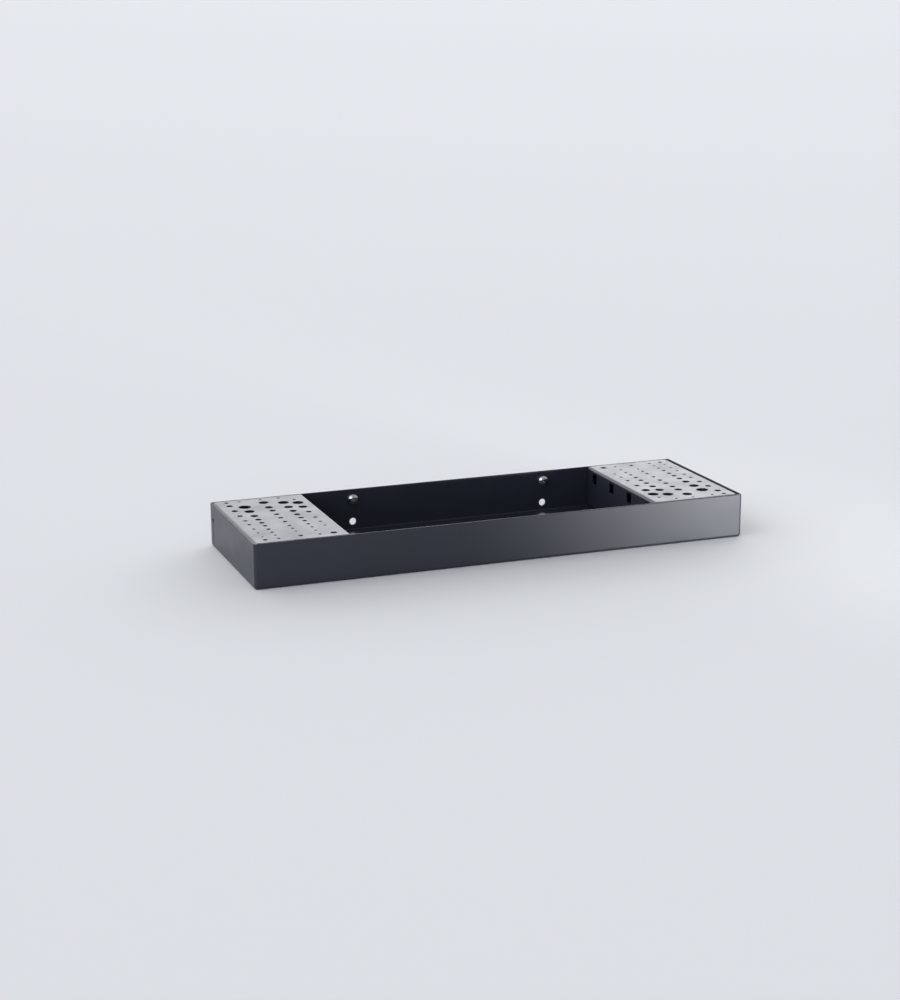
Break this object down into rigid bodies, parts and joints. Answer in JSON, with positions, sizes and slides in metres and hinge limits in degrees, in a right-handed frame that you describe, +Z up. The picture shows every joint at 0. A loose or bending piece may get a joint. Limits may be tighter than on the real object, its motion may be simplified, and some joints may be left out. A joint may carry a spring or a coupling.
{
  "type": "pegboard shelf",
  "caption": "Folded steel tray that screws to a perforated wall, with a lift-out drill rack of graded holes at each end and an open bay between them.",
  "frame": {"origin": "middle of the rear face, which lies on the wall, at mid-width and mid-height", "axes": "+X along the shelf to the right as seen from the front, +Y to the wall, +Z up"},
  "size_m": [0.458, 0.1602, 0.04],
  "materials": {
    "powder_coat": "satin anthracite powder coat",
    "zinc": "bright zinc plate"
  },
  "bodies": {
    "tray": {"tray": "powder_coat", "rear_panel": "powder_coat", "left_screw": "zinc", "right_screw": "zinc", "left_washer": "zinc", "right_washer": "zinc", "left_nut": "zinc", "right_nut": "zinc"},
    "left_rack": {"left_drill_rack": "powder_coat"},
    "right_rack": {"right_drill_rack": "powder_coat"}
  },
  "joints": [
    {"name": "left_rack_lift", "type": "slide", "parent": "tray", "child": "left_rack", "axis": [0, 0, 1], "range_m": [0, 0.045]},
    {"name": "right_rack_lift", "type": "slide", "parent": "tray", "child": "right_rack", "axis": [0, 0, 1], "range_m": [0, 0.045]}
  ]
}
